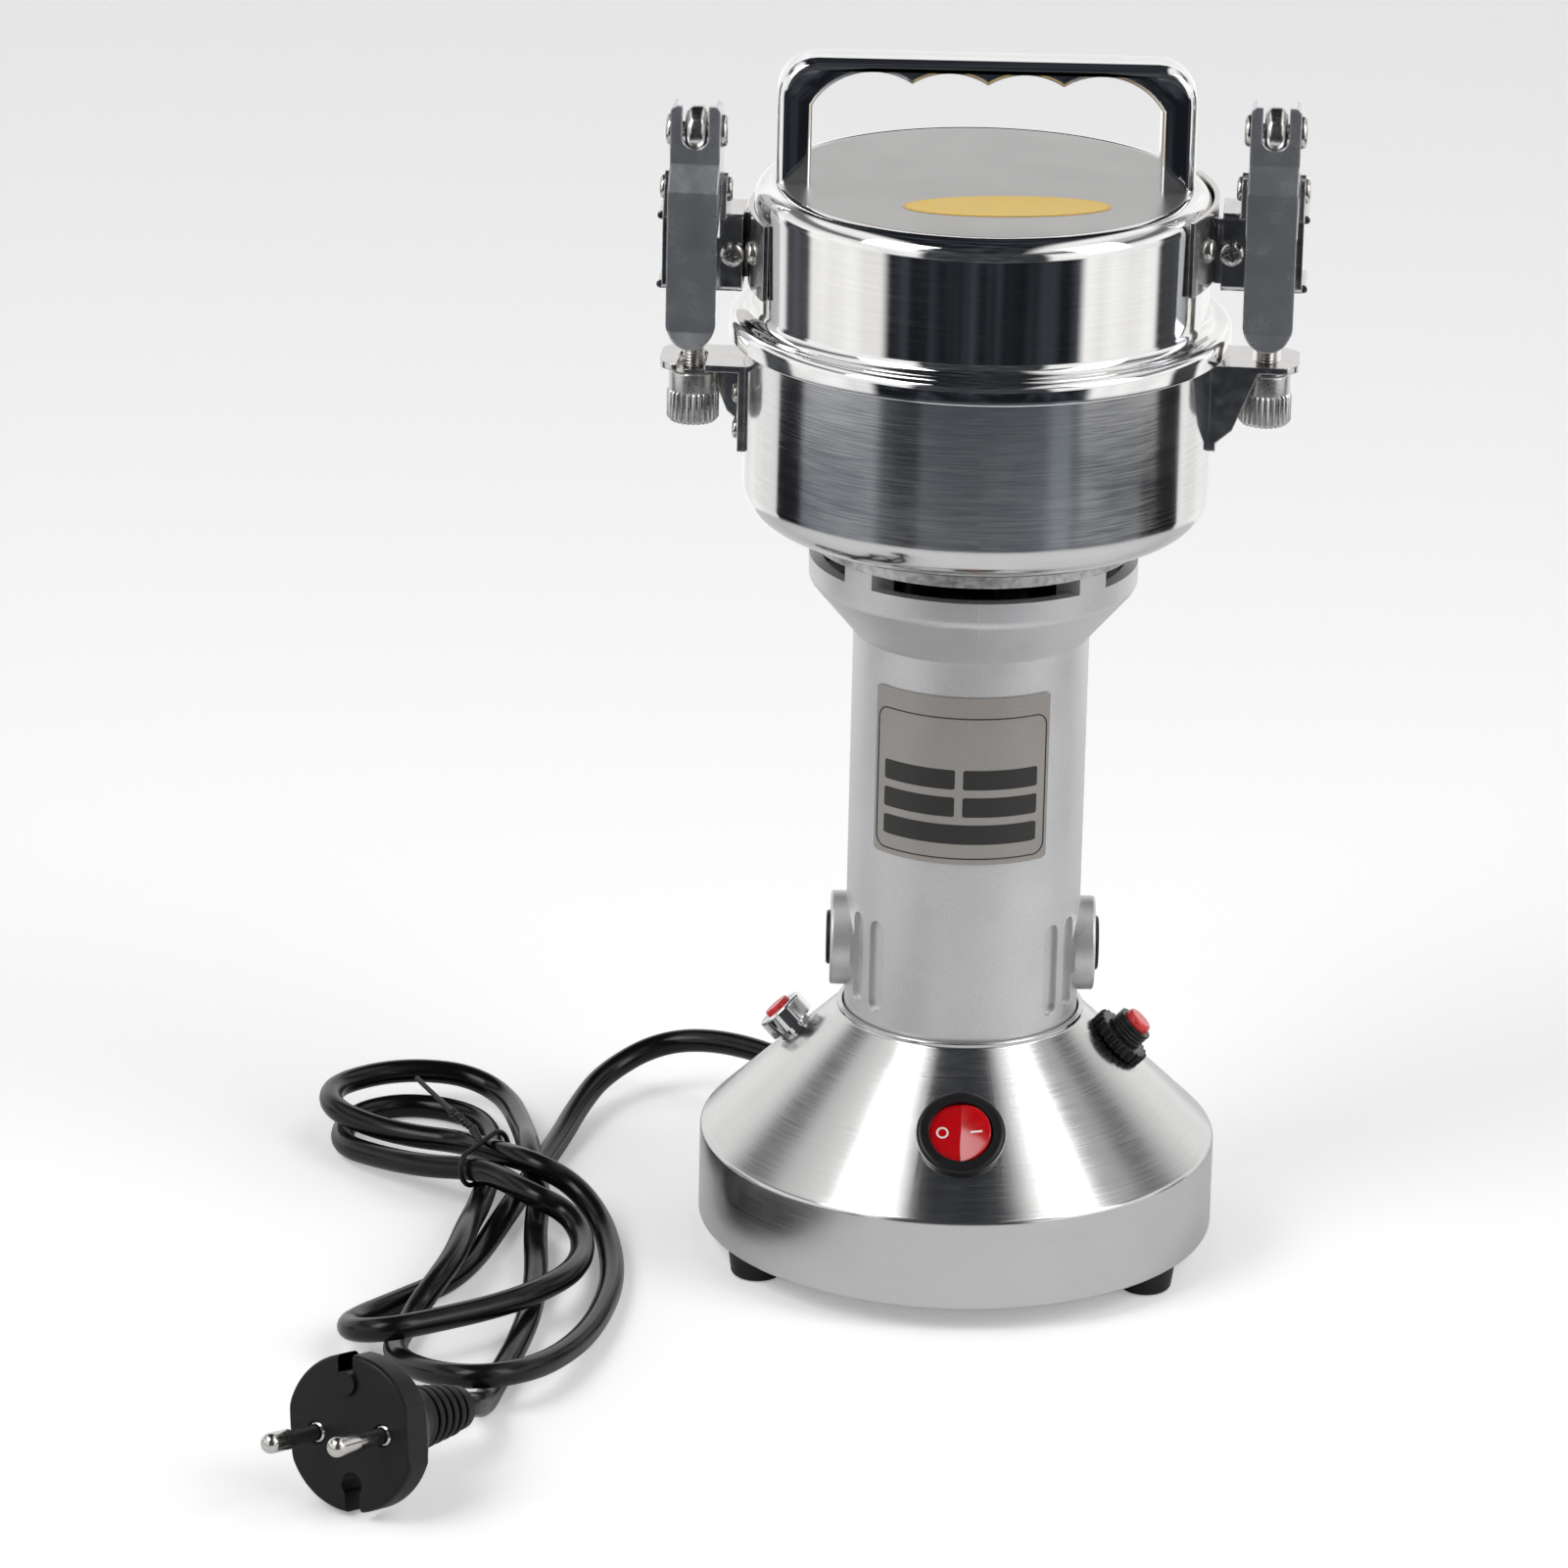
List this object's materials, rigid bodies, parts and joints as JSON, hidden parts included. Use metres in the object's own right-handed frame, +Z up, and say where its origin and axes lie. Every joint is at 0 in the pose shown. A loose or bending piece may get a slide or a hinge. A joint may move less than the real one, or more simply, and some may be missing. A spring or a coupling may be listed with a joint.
{
  "type": "electric coffee grinder",
  "caption": "Upright electric coffee grinder with a spun steel base, cast motor column, steel bowl, clamped lid with arch handle, switches and a tied mains cord.",
  "frame": {"origin": "centre of the base circle on the worktop", "axes": "+Z up the motor axis, -Y towards the rocker switch and the user, +X to the user's right"},
  "size_m": [0.2406, 0.2875, 0.3027],
  "materials": {
    "brushed_steel": "brushed round the axis",
    "polished_steel": "polished, with fine turning lines",
    "cast_alloy": "fine sand-blasted casting",
    "chromed_handle": "mirror chrome",
    "plain_plate": "plain sheet",
    "bright_strap": "polished stamped sheet",
    "nickel_fasteners": "nickel plated",
    "black_rubber": "satin",
    "black_plastic": "satin moulded",
    "plug_black": "fine matt moulded",
    "tie_black": "covered wire",
    "red_lens": "clear red",
    "red_button": "gloss",
    "chromed_bezel": "mirror chrome",
    "grey_foil": "satin foil",
    "gasket_silicone": "matt",
    "bearing_steel": "ground",
    "core_iron": "lamination stack",
    "winding_copper": "enamelled copper",
    "carbon": "carbon",
    "blade_steel": "ground"
  },
  "bodies": {
    "machine": {"base_shell": "brushed_steel", "bottom_plate": "plain_plate", "rubber_feet": "black_rubber", "foot_screws": "nickel_fasteners", "motor_housing": "cast_alloy", "collar_ring": "cast_alloy", "housing_nuts": "nickel_fasteners", "top_bracket": "cast_alloy", "bracket_screws": "nickel_fasteners", "bearings": "bearing_steel", "shaft_seal": "gasket_silicone", "stator_core": "core_iron", "field_windings": "winding_copper", "brush_holders": "black_plastic", "carbon_brushes": "carbon", "brush_caps": "black_plastic", "rating_plate": "grey_foil", "bowl": "polished_steel", "bowl_screws": "nickel_fasteners", "bowl_bracket_left": "bright_strap", "bowl_bracket_right": "bright_strap", "bracket_rivets": "nickel_fasteners", "rocker_bezel": "black_plastic", "jog_bezel": "chromed_bezel", "overload_body": "black_plastic", "overload_nut": "black_plastic", "cord_gland": "black_rubber", "power_cord": "black_rubber", "plug_body": "plug_black", "plug_pins": "nickel_fasteners", "cord_tie": "tie_black"},
    "lid": {"lid_shell": "polished_steel", "lid_gasket": "gasket_silicone", "handle": "chromed_handle", "handle_screws": "nickel_fasteners", "lid_saddle_left": "bright_strap", "lid_saddle_right": "bright_strap", "saddle_rivets": "nickel_fasteners", "clamp_base_left": "bright_strap", "clamp_base_right": "bright_strap", "clamp_screws": "nickel_fasteners", "pivot_rivets": "nickel_fasteners"},
    "rotor": {"rotor_shaft": "bearing_steel", "armature": "core_iron", "cooling_fan": "black_plastic", "blades": "blade_steel", "blade_nut": "nickel_fasteners"},
    "rocker_switch": {"rocker": "red_lens"},
    "jog_plunger": {"jog_button": "red_button"},
    "reset_plunger": {"reset_button": "red_button"},
    "right_lever": {"lever_right": "bright_strap", "eye_pin_right": "nickel_fasteners"},
    "right_bolt": {"eye_bolt_right": "nickel_fasteners"},
    "right_washer": {"washer_right": "nickel_fasteners"},
    "right_nut": {"knurled_nut_right": "nickel_fasteners"},
    "left_lever": {"lever_left": "bright_strap", "eye_pin_left": "nickel_fasteners"},
    "left_bolt": {"eye_bolt_left": "nickel_fasteners"},
    "left_washer": {"washer_left": "nickel_fasteners"},
    "left_nut": {"knurled_nut_left": "nickel_fasteners"}
  },
  "joints": [
    {"name": "lid_lift", "type": "slide", "parent": "machine", "child": "lid", "axis": [0, 0, 1], "range_m": [0, 0.06]},
    {"name": "rotor_spin", "type": "hinge", "parent": "machine", "child": "rotor", "pos_m": [0, 0, 0.194], "axis": [0, 0, 1], "continuous": true},
    {"name": "rocker_tilt", "type": "hinge", "parent": "machine", "child": "rocker_switch", "pos_m": [0, -0.04631, 0.0447], "axis": [0, 0.7204, 0.6935], "range_deg": [0, 16]},
    {"name": "jog_button_press", "type": "slide", "parent": "machine", "child": "jog_plunger", "axis": [0.6784, -0.1442, -0.7204], "range_m": [0, 0.001], "stiffness_N_per_m": 500, "springref_m": -0.002},
    {"name": "reset_button_press", "type": "slide", "parent": "machine", "child": "reset_plunger", "axis": [-0.6926, 0.0363, -0.7204], "range_m": [0, 0.0015], "stiffness_N_per_m": 500, "springref_m": -0.002},
    {"name": "right_lever_swing", "type": "hinge", "parent": "lid", "child": "right_lever", "pos_m": [0.06883, -0.00481, 0.2729], "axis": [-0.9976, 0.0698, 0], "range_deg": [0, 90]},
    {"name": "right_bolt_swing", "type": "hinge", "parent": "right_lever", "child": "right_bolt", "pos_m": [0.06878, -0.00561, 0.2874], "axis": [-0.9976, 0.0698, 0], "range_deg": [-90, 0]},
    {"name": "right_nut_run", "type": "slide", "parent": "right_bolt", "child": "right_washer", "axis": [0, 0, 1], "range_m": [-0.06, 0]},
    {"name": "right_nut_spin", "type": "hinge", "parent": "right_washer", "child": "right_nut", "pos_m": [0.06878, -0.00561, 0.22], "axis": [0, 0, 1], "continuous": true},
    {"name": "left_lever_swing", "type": "hinge", "parent": "lid", "child": "left_lever", "pos_m": [-0.06883, 0.00481, 0.2677], "axis": [-0.9976, 0.0698, 0], "range_deg": [0, 90]},
    {"name": "left_bolt_swing", "type": "hinge", "parent": "left_lever", "child": "left_bolt", "pos_m": [-0.06889, 0.00402, 0.2822], "axis": [-0.9976, 0.0698, 0], "range_deg": [-70, 0]},
    {"name": "left_nut_run", "type": "slide", "parent": "left_bolt", "child": "left_washer", "axis": [0, 0, 1], "range_m": [-0.06, 0]},
    {"name": "left_nut_spin", "type": "hinge", "parent": "left_washer", "child": "left_nut", "pos_m": [-0.06889, 0.00402, 0.22], "axis": [0, 0, 1], "continuous": true}
  ],
  "couplings": [
    {"joint": "right_bolt_swing", "follows": "right_lever_swing", "ratio": -1},
    {"joint": "right_nut_run", "follows": "lid_lift", "ratio": -1},
    {"joint": "left_bolt_swing", "follows": "left_lever_swing", "ratio": -0.765},
    {"joint": "left_nut_run", "follows": "lid_lift", "ratio": -1}
  ]
}
